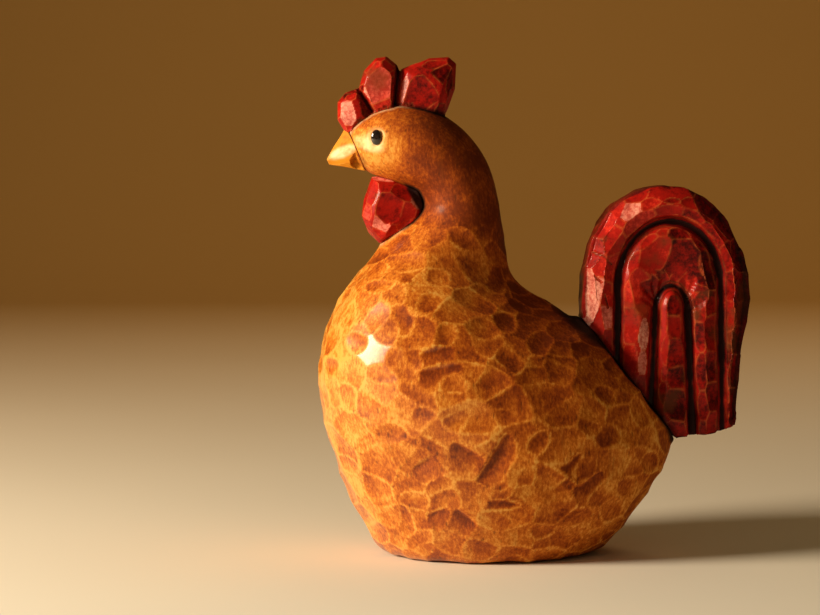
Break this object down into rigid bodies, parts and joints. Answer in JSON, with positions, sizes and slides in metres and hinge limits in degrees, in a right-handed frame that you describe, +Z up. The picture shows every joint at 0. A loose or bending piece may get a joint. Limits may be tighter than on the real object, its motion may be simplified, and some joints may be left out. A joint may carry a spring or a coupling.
{
  "type": "carved wooden chicken figurine",
  "caption": "Solid hand-carved wooden chicken with a faceted red comb, wattle and banded upright tail; it stands on its flat base as an ornament.",
  "frame": {"origin": "centre of the flat base, on the surface it stands on", "axes": "+Z up, the beak points along -X and the tail along +X, and the bird is symmetric about the XZ plane"},
  "size_m": [0.1304, 0.0774, 0.1496],
  "materials": {
    "stained_body_wood": "amber stain, satin lacquer",
    "red_lacquered_wood": "deep red stain, gloss lacquer",
    "beak_wood": "yellow stain, satin lacquer",
    "peg_wood": "bare wood",
    "eye_bead": "gloss"
  },
  "bodies": {
    "root": {"body": "stained_body_wood", "comb": "red_lacquered_wood", "wattle": "red_lacquered_wood", "tail": "red_lacquered_wood", "beak": "beak_wood", "eye_left": "eye_bead", "eye_right": "eye_bead", "comb_peg_front": "peg_wood", "comb_peg_rear": "peg_wood", "wattle_peg": "peg_wood", "tail_peg_upper": "peg_wood", "tail_peg_lower": "peg_wood"}
  },
  "joints": []
}
